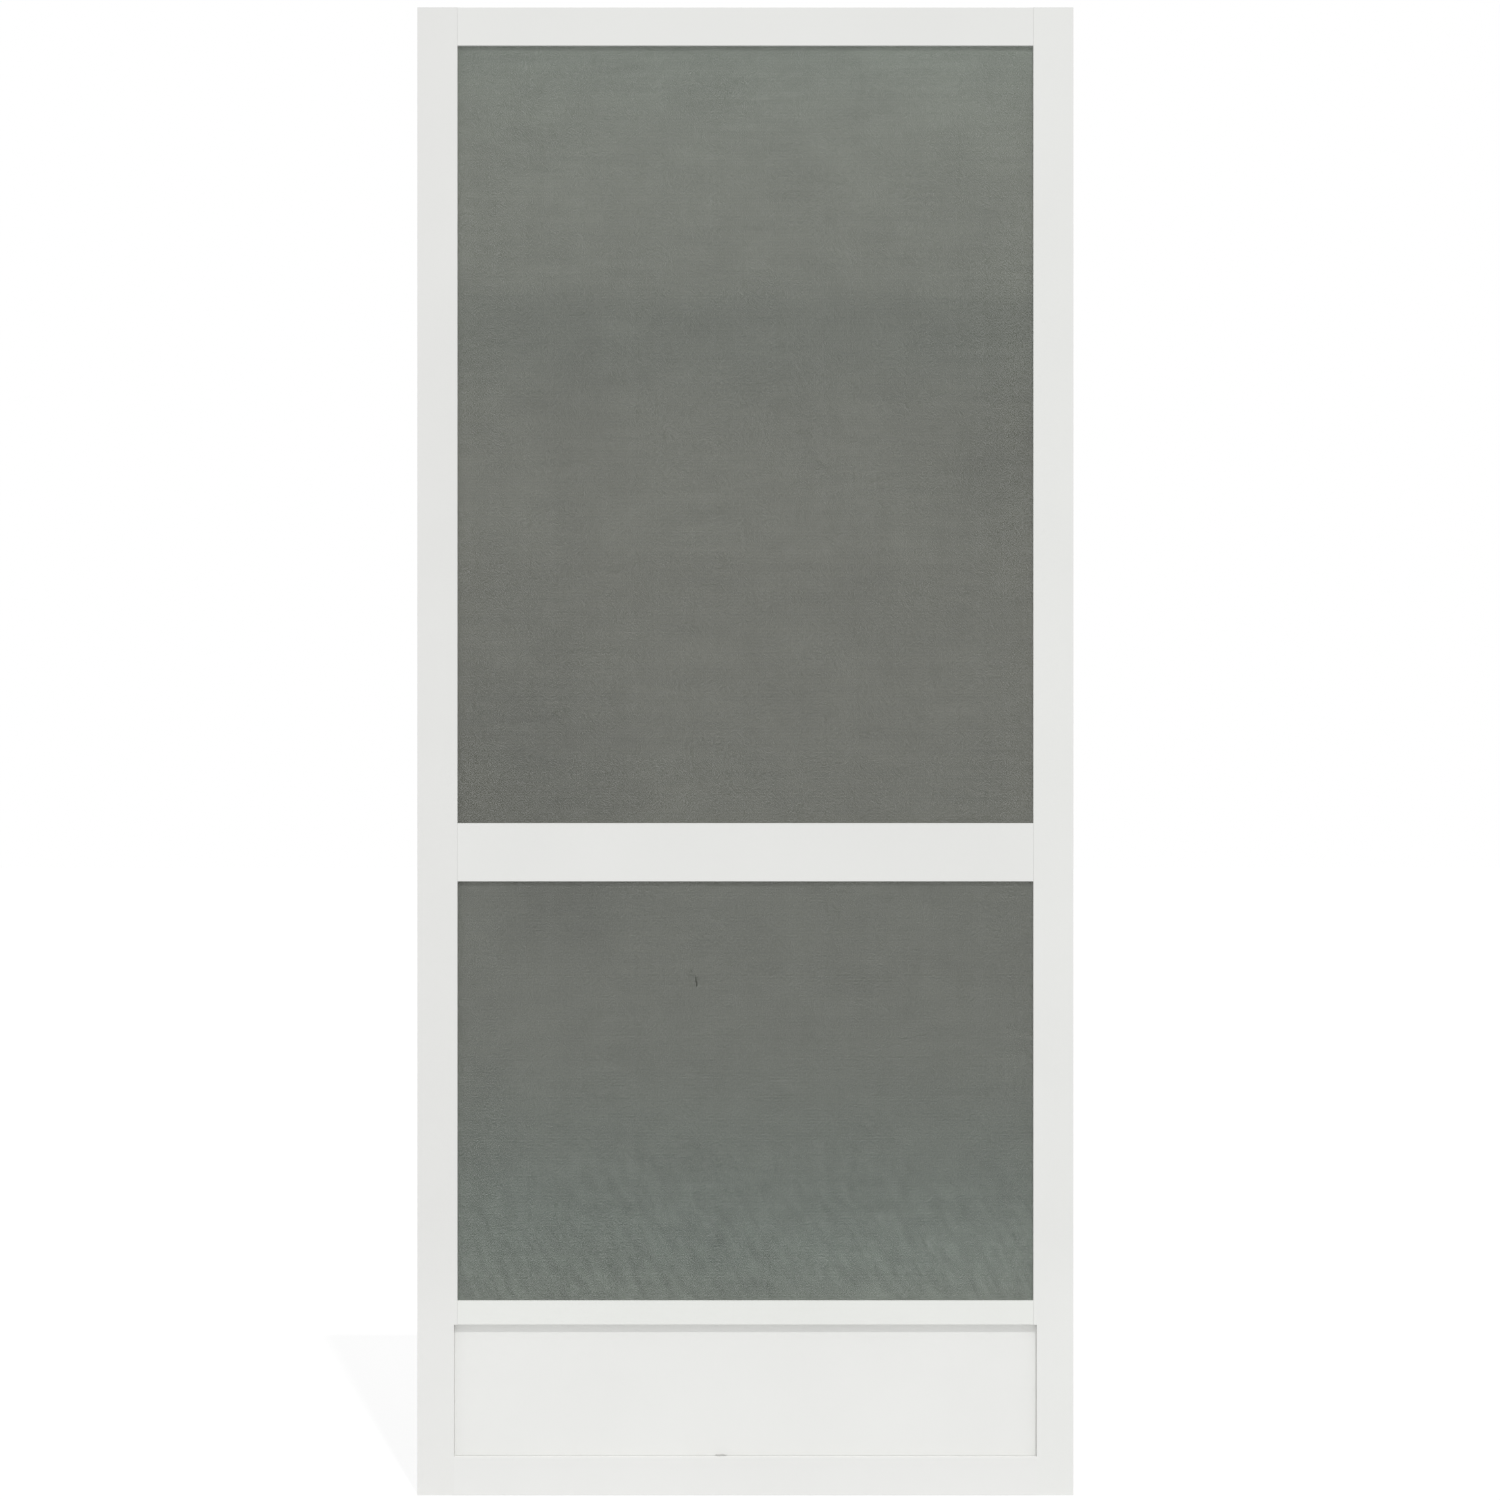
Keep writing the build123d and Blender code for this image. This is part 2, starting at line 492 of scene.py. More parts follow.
class Smudge(Effect):
    """One small mark of dirt with a ragged edge."""

    name = "smudge"
    inputs = (
        ("Colour", COLOUR, WHITE4),
        ("Dirt", COLOUR, (0.12, 0.11, 0.10, 1.0)),
        ("Centre", VECTOR, (0.0, 0.0, 0.0)),
        ("Reach", VECTOR, (1.0, 1.0, 1.0)),
        ("Strength", FLOAT, 0.7),
    )
    outputs = (("Colour", COLOUR),)
    crumb_scale: float = 420.0
    raggedness: float = 0.35
    core: float = 0.55

    def fill(self, shader: ShaderTree, given: bpy.types.Node, out: bpy.types.Node) -> None:
        """Mixes the dirt in within the reach of the centre, with a noise on the distance.

        Args:
            shader: the group's tree.
            given: the Group Input node.
            out: the Group Output node.
        """
        point = shader.object_point()
        distance = shader.distance(point, given.outputs["Centre"], given.outputs["Reach"])
        noise = shader.noise(point, self.crumb_scale, detail=3.0)
        ragged = shader.math("ADD", distance, shader.spread(noise, -self.raggedness, self.raggedness))
        near = shader.map_range(ragged, self.core, 1.0, 1.0, 0.0, smooth=True)
        mask = shader.math("MULTIPLY", near, given.outputs["Strength"])
        shader.feed(shader.mix(mask, given.outputs["Colour"], given.outputs["Dirt"]), out.inputs["Colour"])


class SawnMetal(Effect):
    """Where a stile shows bare metal: its sawn ends and the inside of its chamber."""

    name = "sawn_metal"
    inputs = (
        ("Low End", FLOAT, 0.0),
        ("High End", FLOAT, 2.032),
        ("Middle", FLOAT, 0.448),
        ("Outer", FLOAT, 0.4469),
        ("Inner", FLOAT, 0.3991),
        ("Half Depth", FLOAT, 0.01155),
    )
    outputs = (("Mask", FLOAT), ("Scratches", FLOAT))
    end_skin: float = 0.1 * MM
    saw_marks: Point = (900.0, 5200.0, 60.0)

    def fill(self, shader: ShaderTree, given: bpy.types.Node, out: bpy.types.Node) -> None:
        """Adds the ends' mask to the chamber's, and lines the ends with saw marks.

        Args:
            shader: the group's tree.
            given: the Group Input node.
            out: the Group Output node.
        """
        point = shader.object_point()
        across, depth, height = shader.split(point).outputs
        low, high, middle, outer, inner, half_depth = given.outputs[:6]
        sawn = shader.math("ADD", *(self.closer(shader, height, end, self.end_skin) for end in (low, high)))
        within = [self.closer(shader, across, middle, reach) for reach in (outer, inner)]
        walls = shader.math("SUBTRACT", *within)
        inside = shader.math("MULTIPLY", walls, self.closer(shader, depth, 0.0, half_depth))
        shader.feed(shader.math("ADD", sawn, inside, clamp=True), out.inputs["Mask"])
        drawn = shader.vector_math("MULTIPLY", point, self.saw_marks).outputs[0]
        shader.feed(shader.noise(drawn, 1.0, detail=3.0), out.inputs["Scratches"])

    def closer(
        self, shader: ShaderTree, value: object, centre: object, limit: object
    ) -> bpy.types.NodeSocket:
        """One where a value is closer to a centre than a limit, else zero."""
        away = shader.math("ABSOLUTE", shader.math("SUBTRACT", value, centre))
        return shader.math("LESS_THAN", away, limit)


class PaintedLightSpot(Effect):
    """A soft painted patch of light or shade that makes a tone a little lighter or darker."""

    name = "painted_light_spot"
    inputs = (
        ("Tone", FLOAT, 1.0),
        ("Centre", VECTOR, (0.0, 0.0, 0.0)),
        ("Reach", VECTOR, (1.0, 1.0, 1.0)),
        ("Change", FLOAT, 0.0),
    )
    outputs = (("Tone", FLOAT),)
    cloud_scale: float = 14.0
    raggedness: float = 0.18
    core: float = 0.15

    def fill(self, shader: ShaderTree, given: bpy.types.Node, out: bpy.types.Node) -> None:
        """Adds the change at the centre, fading to nothing at a ragged reach.

        Args:
            shader: the group's tree.
            given: the Group Input node.
            out: the Group Output node.
        """
        point = shader.object_point()
        distance = shader.distance(point, given.outputs["Centre"], given.outputs["Reach"])
        noise = shader.noise(point, self.cloud_scale, detail=3.0)
        ragged = shader.math("ADD", distance, shader.spread(noise, -self.raggedness, self.raggedness))
        near = shader.map_range(ragged, self.core, 1.0, 1.0, 0.0, smooth=True)
        change = shader.math("MULTIPLY", near, given.outputs["Change"])
        shader.feed(shader.math("ADD", given.outputs["Tone"], change), out.inputs["Tone"])


class SlantedRipple(Effect):
    """Fine slanting bands of lighter and darker tone, below a given height."""

    name = "slanted_ripple"
    inputs = (("Tone", FLOAT, 1.0), ("Top", FLOAT, 0.5), ("Full", FLOAT, 0.3), ("Strength", FLOAT, 0.05))
    outputs = (("Tone", FLOAT),)
    along: Point = (12.0, 0.0, -22.0)
    across: Point = (84.0, 0.0, 45.0)

    def fill(self, shader: ShaderTree, given: bpy.types.Node, out: bpy.types.Node) -> None:
        """Adds a noise that is short across the slant and long along it, fading in downwards.

        Args:
            shader: the group's tree.
            given: the Group Input node.
            out: the Group Output node.
        """
        slanted = shader.add("ShaderNodeCombineXYZ")
        for way, socket in zip((self.along, self.across), slanted.inputs):
            run = shader.vector_math("DOT_PRODUCT", shader.object_point(), way)
            shader.feed(run.outputs["Value"], socket)
        noise = shader.noise(slanted.outputs[0], 1.0)
        full, top, strength = (given.outputs[name] for name in ("Full", "Top", "Strength"))
        depth = shader.map_range(shader.height(), full, top, strength, 0.0)
        swing = shader.math("MULTIPLY", shader.spread(noise, -1.0, 1.0), depth)
        shader.feed(shader.math("ADD", given.outputs["Tone"], swing), out.inputs["Tone"])


GRAIN = CoatGrain()
MOTTLE = Mottle()
PAINTED_FLOOR_BOUNCE = PaintedFloorBounce()
DUST = SettledDust()
SMUDGE = Smudge()
SAWN = SawnMetal()
PAINTED_LIGHT_SPOT = PaintedLightSpot()
RIPPLE = SlantedRipple()


def new_material(name: str) -> tuple[bpy.types.Material, ShaderTree, bpy.types.Node]:
    """Makes a material with a Principled BSDF.

    Args:
        name: the material's name.

    Returns:
        The material, its tree and the shader node.
    """
    material = bpy.data.materials.new(name)
    material.use_nodes = True
    material.node_tree.nodes.clear()
    shader = ShaderTree(material.node_tree)
    surface = shader.add("ShaderNodeBsdfPrincipled")
    output = shader.add("ShaderNodeOutputMaterial")
    shader.feed(surface.outputs[0], output.inputs["Surface"])
    return material, shader, surface


@dataclass(frozen=True)
class Relief:
    """The fine relief of a finish, by how many ripples and grains fit in a metre and how they show."""

    ripple: float
    grain: float
    strength: float
    depth: float

    def press(self, shader: ShaderTree, surface: bpy.types.Node) -> bpy.types.Node:
        """Puts the relief into a shader's normal.

        Args:
            shader: the material's tree.
            surface: the shader node.

        Returns:
            The grain's group node.
        """
        grain = GRAIN.place(shader, Ripple=self.ripple, Grain=self.grain)
        bump = shader.add("ShaderNodeBump")
        shader.feed(self.strength, bump.inputs["Strength"])
        shader.feed(self.depth, bump.inputs["Distance"])
        shader.feed(grain.outputs["Height"], bump.inputs["Height"])
        shader.feed(bump.outputs[0], surface.inputs["Normal"])
        return grain


@dataclass(frozen=True)
class Spot:
    """A place on a surface that differs from the rest: a mark of dirt, or a painted patch of light or shade.
    """

    centre: Point
    reach: Point
    change: float


@dataclass(frozen=True)
class PowderCoat:
    """Satin white powder coat on aluminium, bare where the extrusion was sawn if it is a stile."""

    name: str
    colour: Colour = (0.790, 0.794, 0.775)
    peel: Relief = Relief(ripple=260.0, grain=1500.0, strength=0.35, depth=0.06 * MM)
    smooth: float = 0.35
    rough: float = 0.43
    cloud_scale: float = 5.0
    cloud_spread: float = 0.012
    dust: float = 0.10
    dust_roughness: float = 0.3
    # painted light: how much lighter the coat is painted towards the foot, standing in for light bounced off
    # the floor
    painted_foot_light: float = 0.0
    sawn: bool = False
    bare_dark: Colour = (0.60, 0.61, 0.62)
    bare_light: Colour = (0.80, 0.81, 0.82)
    bare_roughness: float = 0.34
    refraction: float = 1.45
    mark: Spot | None = None

    def material(self) -> bpy.types.Material:
        """Builds the coat.

        Returns:
            The material.
        """
        material, shader, surface = new_material(self.name)
        grain = self.peel.press(shader, surface)
        clouds = {"Scale": self.cloud_scale, "Spread": self.cloud_spread}
        tone = MOTTLE.place(shader, Colour=self.colour, **clouds).outputs["Colour"]
        # Painted light: the coat is made lighter towards the foot, standing in for floor bounce.
        if self.painted_foot_light > 0.0:
            tone = PAINTED_FLOOR_BOUNCE.place(shader, Colour=tone, Change=self.painted_foot_light).outputs["Colour"]
        if self.mark is not None:
            mark = {"Centre": self.mark.centre, "Reach": self.mark.reach, "Strength": self.mark.change}
            tone = SMUDGE.place(shader, Colour=tone, **mark).outputs["Colour"]
        dusted = DUST.place(shader, Colour=tone, Amount=self.dust)
        colour = dusted.outputs["Colour"]
        shine = shader.map_range(grain.outputs["Shine"], 0.0, 1.0, self.smooth, self.rough)
        matt = shader.math("MULTIPLY", dusted.outputs["Mask"], self.dust_roughness)
        rough = shader.math("ADD", shine, matt)
        if self.sawn:
            sawn = SAWN.place(shader)
            bare = shader.mix(sawn.outputs["Scratches"], self.bare_dark, self.bare_light)
            colour = shader.mix(sawn.outputs["Mask"], colour, bare)
            rough = shader.map_range(sawn.outputs["Mask"], 0.0, 1.0, rough, self.bare_roughness)
            shader.feed(sawn.outputs["Mask"], surface.inputs["Metallic"])
        shader.feed(colour, surface.inputs["Base Color"])
        shader.feed(rough, surface.inputs["Roughness"])
        surface.inputs["IOR"].default_value = self.refraction
        return material


@dataclass(frozen=True)
class Level:
    """How light and how cool a screen's yarn is painted at one height: painted light and reflection."""

    height: float
    tone: float
    cool: float


@dataclass(frozen=True)
class CoatedYarn:
    """Charcoal yarn with a vinyl coat, with painted light and reflection: its tone and its tint drift with
    height.
    """

    name: str
    levels: tuple[Level, ...]
    spots: tuple[Spot, ...] = ()
    ripple: float = 0.0
    # The tint is mixed from warm to cool by height: painted reflection.
    warm: Colour = (0.131, 0.135, 0.114)
    cool: Colour = (0.131, 0.153, 0.131)
    twist: Relief = Relief(ripple=900.0, grain=4200.0, strength=0.4, depth=0.03 * MM)
    smooth: float = 0.49
    rough: float = 0.63
    refraction: float = 1.4
    shine: float = 0.25
    streak: Point = (9.0, 1.0, 95.0)
    streak_spread: float = 0.055
    cloud_scale: float = 16.0
    cloud_spread: float = 0.045
    curve_top: float = 2.0

    def by_height(self, shader: ShaderTree, values: list[float]) -> bpy.types.NodeSocket:
        """Builds a smooth curve over height through one value for each level.

        Args:
            shader: the material's tree.
            values: the values, from the lowest level up, none above the curve's top.

        Returns:
            The value at the surface point's height.
        """
        low, high = self.levels[0].height, self.levels[-1].height
        node = shader.add("ShaderNodeFloatCurve")
        curve = node.mapping.curves[0]
        curve.points[0].location = (0.0, values[0] / self.curve_top)
        curve.points[-1].location = (1.0, values[-1] / self.curve_top)
        for level, value in zip(self.levels[1:-1], values[1:-1]):
            curve.points.new((level.height - low) / (high - low), value / self.curve_top)
        node.mapping.update()
        shader.feed(shader.map_range(shader.height(), low, high, 0.0, 1.0), node.inputs["Value"])
        return shader.math("MULTIPLY", node.outputs[0], self.curve_top)

    def tone(self, shader: ShaderTree) -> bpy.types.NodeSocket:
        """Builds the painted tone by height, with the painted patches of light and shade and the slanting
        bands on it.

        Args:
            shader: the material's tree.

        Returns:
            The tone, about 1.
        """
        tone = self.by_height(shader, [level.tone for level in self.levels])
        # Painted light and shade: each patch makes the yarn lighter or darker.
        for spot in self.spots:
            values = {"Centre": spot.centre, "Reach": spot.reach, "Change": spot.change}
            tone = PAINTED_LIGHT_SPOT.place(shader, Tone=tone, **values).outputs["Tone"]
        low, high = self.levels[0].height, self.levels[-1].height
        middle = (low + high) / 2
        return RIPPLE.place(shader, Tone=tone, Top=middle, Full=low, Strength=self.ripple).outputs["Tone"]

    def material(self) -> bpy.types.Material:
        """Builds the yarn.

        Returns:
            The material.
        """
        material, shader, surface = new_material(self.name)
        # Painted reflection: the tint drifts from warm to cool with height.
        cool = self.by_height(shader, [level.cool for level in self.levels])
        tint = shader.mix(cool, self.warm, self.cool)
        streaks = {"Scale": 1.0, "Spread": self.streak_spread, "Stretch": self.streak}
        clouds = {"Scale": self.cloud_scale, "Spread": self.cloud_spread}
        colour = MOTTLE.place(shader, Colour=tint, **streaks).outputs["Colour"]
        colour = MOTTLE.place(shader, Colour=colour, **clouds).outputs["Colour"]
        # The tone scales in the painted light and reflection by height, the painted patches and the slanting
        # bands.
        shader.feed(shader.scaled(colour, self.tone(shader)), surface.inputs["Base Color"])
        grain = self.twist.press(shader, surface)
        rough = shader.map_range(grain.outputs["Shine"], 0.0, 1.0, self.smooth, self.rough)
        shader.feed(rough, surface.inputs["Roughness"])
        surface.inputs["IOR"].default_value = self.refraction
        surface.inputs["Specular IOR Level"].default_value = self.shine
        return material


@dataclass(frozen=True)
class SplineVinyl:
    """Soft black vinyl with a dusty bloom."""

    name: str
    colour: Colour = (0.028, 0.028, 0.030)
    bloom: Colour = (0.30, 0.29, 0.27)
    dust: float = 0.18
    skin: Relief = Relief(ripple=600.0, grain=3000.0, strength=0.3, depth=0.04 * MM)
    smooth: float = 0.50
    rough: float = 0.68
    cloud_scale: float = 40.0
    cloud_spread: float = 0.25

    def material(self) -> bpy.types.Material:
        """Builds the vinyl.

        Returns:
            The material.
        """
        material, shader, surface = new_material(self.name)
        clouds = {"Scale": self.cloud_scale, "Spread": self.cloud_spread}
        tone = MOTTLE.place(shader, Colour=self.colour, **clouds).outputs["Colour"]
        dusted = DUST.place(shader, Colour=tone, Amount=self.dust, Dust=self.bloom)
        shader.feed(dusted.outputs["Colour"], surface.inputs["Base Color"])
        grain = self.skin.press(shader, surface)
        rough = shader.map_range(grain.outputs["Shine"], 0.0, 1.0, self.smooth, self.rough)
        shader.feed(rough, surface.inputs["Roughness"])
        return material


@dataclass(frozen=True)
class PlainMetal:
    """Bare fastener metal, with drawn marks and a little tarnish."""

    name: str
    light: Colour
    dark: Colour
    roughness: float
    tarnish: float = 0.15
    tarnish_from: float = 0.4
    tarnish_full: float = 0.9
    drawn: Relief = Relief(ripple=700.0, grain=2600.0, strength=0.2, depth=0.03 * MM)

    def material(self) -> bpy.types.Material:
        """Builds the metal.

        Returns:
            The material.
        """
        material, shader, surface = new_material(self.name)
        grain = self.drawn.press(shader, surface)
        colour = shader.mix(grain.outputs["Shine"], self.light, self.dark)
        shader.feed(colour, surface.inputs["Base Color"])
        dull = self.roughness + self.tarnish
        ends = (self.tarnish_from, self.tarnish_full, self.roughness, dull)
        rough = shader.map_range(grain.outputs["Height"], *ends)
        shader.feed(rough, surface.inputs["Roughness"])
        surface.inputs["Metallic"].default_value = 1.0
        return material


def finish_piece(
    name: str, mesh: bmesh.types.BMesh, material: bpy.types.Material, shading: Shading
) -> bpy.types.Object:
    """Turns a bmesh into an object at the origin.

    Args:
        name: the piece's name.
        mesh: its geometry, already in place; it is freed.
        material: its finish.
        shading: how its faces are shaded.

    Returns:
        The object.
    """
    for face in mesh.faces:
        face.smooth = shading is Shading.SMOOTH
    data = bpy.data.meshes.new(name)
    mesh.to_mesh(data)
    mesh.free()
    piece = bpy.data.objects.new(name, data)
    bpy.context.scene.collection.objects.link(piece)
    data.materials.append(material)
    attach(piece, "root")
    return piece


def dress(node: bpy.types.Object, material: bpy.types.Material) -> None:
    """Gives a CAD node a finish in all its slots."""
    for slot in node.material_slots:
        slot.material = material


def repeat(mesh: bmesh.types.BMesh, count: int, step: Vector) -> None:
    """Repeats all of a bmesh along a line by doubling it.

    Args:
        mesh: the geometry of the first one.
        count: how many there are to be.
        step: the way from one to the next.
    """
    size = len(mesh.verts)
    made = 1
    while made < count:
        more = min(made, count - made)
        mesh.verts.ensure_lookup_table()
        verts = mesh.verts[: more * size]
        chosen = set(verts)
        faces = [face for face in mesh.faces if face.verts[0] in chosen]
        edges = {edge for face in faces for edge in face.edges}
        result = bmesh.ops.duplicate(mesh, geom=[*verts, *edges, *faces])
        fresh = [item for item in result["geom"] if isinstance(item, bmesh.types.BMVert)]
        bmesh.ops.translate(mesh, verts=fresh, vec=step * made)
        made += more


def extrude(
    mesh: bmesh.types.BMesh, faces: list[bmesh.types.BMFace], way: Point
) -> tuple[list[bmesh.types.BMVert], list[bmesh.types.BMFace]]:
    """Extrudes faces, and leaves the ones that they start from.

    Args:
        mesh: the shape.
        faces: the faces.
        way: how far and which way they go.

    Returns:
        The new vertices and faces at the far end.
    """
    made = bmesh.ops.extrude_face_region(mesh, geom=faces)["geom"]
    verts = [item for item in made if isinstance(item, bmesh.types.BMVert)]
    bmesh.ops.translate(mesh, verts=verts, vec=way)
    return verts, [item for item in made if isinstance(item, bmesh.types.BMFace)]


def round_off(mesh: bmesh.types.BMesh, edges: list[bmesh.types.BMEdge], radius: float, segments: int) -> None:
    """Bevels edges.

    Args:
        mesh: the shape.
        edges: the edges.
        radius: how far back the bevel starts.
        segments: its steps.
    """
    bmesh.ops.bevel(
        mesh,
        geom=edges,
        offset=radius,
        offset_type="OFFSET",
        affect="EDGES",
        segments=segments,
        profile=0.5,
        material=-1,
    )


def lay_level(mesh: bmesh.types.BMesh) -> None:
    """Turns a shape that runs along Z so that it runs along X."""
    bmesh.ops.rotate(mesh, verts=mesh.verts, cent=(0, 0, 0), matrix=Matrix.Rotation(QUARTER_TURN, 3, "Y"))


def close_up(mesh: bmesh.types.BMesh) -> None:
    """Deletes the faces that extrusions left inside a closed shape, and turns all normals outward.

    Args:
        mesh: the shape.
    """
    inner = [face for face in mesh.faces if all(len(edge.link_faces) > 2 for edge in face.edges)]
    bmesh.ops.delete(mesh, geom=inner, context="FACES_ONLY")
    bmesh.ops.recalc_face_normals(mesh, faces=mesh.faces)


@dataclass(frozen=True)
class Thread:
    """A flattened thread of a screen, straight across the opening and bent into the grooves at its ends."""

    yarn: Yarn
    width: float
    thickness: float
    pitch: float
    bend: float = 0.5 * MM
    bend_steps: int = 2

    def build(self, start: float, end: float, depth: float, tuck: float) -> bmesh.types.BMesh:
        """Builds a thread whose place across the screen is zero.

        Args:
            start: where its flat run begins.
            end: where its flat run ends.
            depth: the depth of its middle.
            tuck: how far its ends reach towards the front.

        Returns:
            The thread.
        """
        mesh = bmesh.new()
        bmesh.ops.create_circle(mesh, cap_ends=True, segments=4, radius=0.5)
        bmesh.ops.scale(mesh, verts=mesh.verts, vec=(self.width, self.thickness, 1.0))
        bmesh.ops.translate(mesh, verts=mesh.verts, vec=(0.0, depth, start + self.bend))
        near = mesh.faces[:][0]
        far = extrude(mesh, [near], (0.0, 0.0, end - start - 2 * self.bend))[1][0]
        for face, place, angle in (
            (near, start + self.bend, -QUARTER_TURN),
            (far, end - self.bend, QUARTER_TURN),
        ):
            self.turn_in(mesh, face, Vector((0.0, depth - self.bend, place)), angle, tuck)
        close_up(mesh)
        if self.yarn is Yarn.WEFT:
            lay_level(mesh)
        return mesh

    def turn_in(
        self, mesh: bmesh.types.BMesh, face: bmesh.types.BMFace, centre: Vector, angle: float, tuck: float
    ) -> None:
        """Bends a thread's end over the rib and runs it down into the groove.

        Args:
            mesh: the thread.
            face: the end of its flat run.
            centre: the centre of the bend.
            angle: how far it bends, with its sign.
            tuck: how far it runs on towards the front.
        """
        turned = bmesh.ops.spin(
            mesh,
            geom=[face],
            cent=centre,
            axis=Axis.X.value,
            dvec=(0.0, 0.0, 0.0),
            angle=angle,
            steps=self.bend_steps,
            use_merge=False,
            use_duplicate=False,
        )
        ends = [item for item in turned["geom_last"] if isinstance(item, bmesh.types.BMFace)]
        extrude(mesh, ends, (0.0, -tuck, 0.0))


@dataclass(frozen=True)
class SplineCord:
    """A length of vinyl spline, extruded with ridges along it."""

    radius: float = 1.475 * MM
    ridges: int = 12
    ridge_height: float = 0.14 * MM

    def build(self, low: Vector, high: Vector) -> bmesh.types.BMesh:
        """Builds the cord to fill the box of its CAD node.

        Args:
            low: the box's lowest corner.
            high: the box's highest corner.

        Returns:
            The cord.
        """
        span = high - low
        upright = span.z > span.x
        length = span.z if upright else span.x
        mesh = bmesh.new()
        made = bmesh.ops.create_circle(mesh, cap_ends=True, segments=2 * self.ridges, radius=self.radius)
        valleys = made["verts"][::2]
        shrink = 1.0 - self.ridge_height / self.radius
        bmesh.ops.scale(mesh, verts=valleys, vec=(shrink, shrink, 1.0))
        bmesh.ops.translate(mesh, verts=mesh.verts, vec=(0.0, 0.0, -length / 2))
        extrude(mesh, mesh.faces[:], (0.0, 0.0, length))
        if not upright:
            lay_level(mesh)
        bmesh.ops.translate(mesh, verts=mesh.verts, vec=(low + high) / 2)
        bmesh.ops.recalc_face_normals(mesh, faces=mesh.faces)
        return mesh


@dataclass(frozen=True)
class Screen:
    """One screen of woven yarn, tucked into the grooves around its opening and held by four splines."""

    name: str
    below: str
    above: str
    finish: CoatedYarn
    warp: Thread = Thread(Yarn.WARP, width=0.76 * MM, thickness=0.16 * MM, pitch=0.90 * MM)
    weft: Thread = Thread(Yarn.WEFT, width=0.715 * MM, thickness=0.16 * MM, pitch=1.00 * MM)
    cloth: float = 0.4 * MM
    layer: float = 0.12 * MM
    tuck: float = 2.3 * MM
    wander: float = 0.02 * MM
    seed: int = 7

    def weave(self, low: Vector, high: Vector) -> bmesh.types.BMesh:
        """Weaves the screen: the warp in the middle, the weft in front of it and behind it by turns.

        Args:
            low: the lowest corner of the CAD screen.
            high: its highest corner.

        Returns:
            The threads, as one mesh.
        """
        middle = LEAF.screen_plane + self.cloth / 2
        rng = random.Random(self.seed)
        count, first = self.layout(low.x, high.x, self.warp.pitch)
        warp = self.warp.build(low.z, high.z, middle, self.tuck)
        step, start = Vector((self.warp.pitch, 0.0, 0.0)), Vector((first, 0.0, 0.0))
        sets = [self.spread(warp, count, step, start, 0.0, rng)]
        count, first = self.layout(low.z, high.z, self.weft.pitch)
        step = Vector((0.0, 0.0, 2 * self.weft.pitch))
        for turn, side in ((0, -1), (1, 1)):
            weft = self.weft.build(low.x, high.x, middle + side * self.layer, self.tuck)
            start = Vector((0.0, 0.0, first + turn * self.weft.pitch))
            sets.append(self.spread(weft, (count - turn + 1) // 2, step, start, self.wander, rng))
        return gather(sets)

    def layout(self, start: float, end: float, pitch: float) -> tuple[int, float]:
        """How many threads fit between two edges of the screen, and where the first one lies."""
        count = int((end - start - 2 * pitch) / pitch) + 1
        return count, (start + end - (count - 1) * pitch) / 2

    def spread(
        self,
        thread: bmesh.types.BMesh,
        count: int,
        step: Vector,
        start: Vector,
        wander: float,
        rng: random.Random,
    ) -> bmesh.types.BMesh:
        """Repeats a thread and lets each one wander a little.

        Args:
            thread: the first thread.
            count: how many there are.
            step: the way from one to the next.
            start: where the first one lies.
            wander: how far a thread may be out of its place.
            rng: the source of the wander.

        Returns:
            The threads.
        """
        size = len(thread.verts)
        repeat(thread, count, step)
        bmesh.ops.translate(thread, verts=thread.verts, vec=start)
        side = step.normalized()
        shifts = [side * rng.uniform(-wander, wander) for _ in range(count)]
        for index, vert in enumerate(thread.verts):
            vert.co += shifts[index // size]
        return thread

    def build(self) -> list[bpy.types.Object]:
        """Builds the screen and its splines.

        Returns:
            The pieces.
        """
        low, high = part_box(self.name)
        weave = self.weave(low, high)
        screen = finish_piece(f"{self.name}_weave", weave, self.finish.material(), Shading.FLAT)
        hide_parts(self.name)
        pieces = [screen]
        vinyl = SplineVinyl(f"{self.name}_spline_vinyl").material()
        for edge in Edge:
            node = f"{self.name.replace('_screen', '_spline')}_{edge.value}"
            cord = finish_piece(f"{node}_ridged", SplineCord().build(*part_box(node)), vinyl, Shading.FLAT)
            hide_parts(node)
            pieces.append(cord)
        return pieces


@dataclass(frozen=True)
class Snag:
    """A pulled loop of yarn that stands out from the screen's front."""

    x: float
    z: float
    length: float
    width: float
    bow: float
    thickness: float = 0.35 * MM
    thin_end: float = 0.4
    lean: float = 0.2
    steps: int = 12

    def build(self) -> bmesh.types.BMesh:
        """Builds the loop: a flat yarn, thin at both ends, bowed towards the front and a little to one side.

        Returns:
            The loop.
        """
        mesh = bmesh.new()
        bmesh.ops.create_circle(mesh, cap_ends=True, segments=8, radius=0.5)
        bmesh.ops.scale(mesh, verts=mesh.verts, vec=(self.width, self.thickness, 1.0))
        faces, rings = mesh.faces[:], [mesh.verts[:]]
        for _ in range(self.steps):
            ring, faces = extrude(mesh, faces, (0.0, 0.0, self.length / self.steps))
            rings.append(ring)
        for index, ring in enumerate(rings):
            turn = math.pi * index / self.steps
            swell = self.thin_end + (1.0 - self.thin_end) * math.sin(turn)
            lean = self.lean * self.width * math.sin(2 * turn)
            bmesh.ops.scale(mesh, verts=ring, vec=(swell, swell, 1.0))
            bmesh.ops.translate(mesh, verts=ring, vec=(lean, -self.bow * math.sin(turn), 0.0))
        close_up(mesh)
        foot = (self.x, LEAF.screen_plane, self.z - self.length / 2)
        bmesh.ops.translate(mesh, verts=mesh.verts, vec=foot)
        return mesh


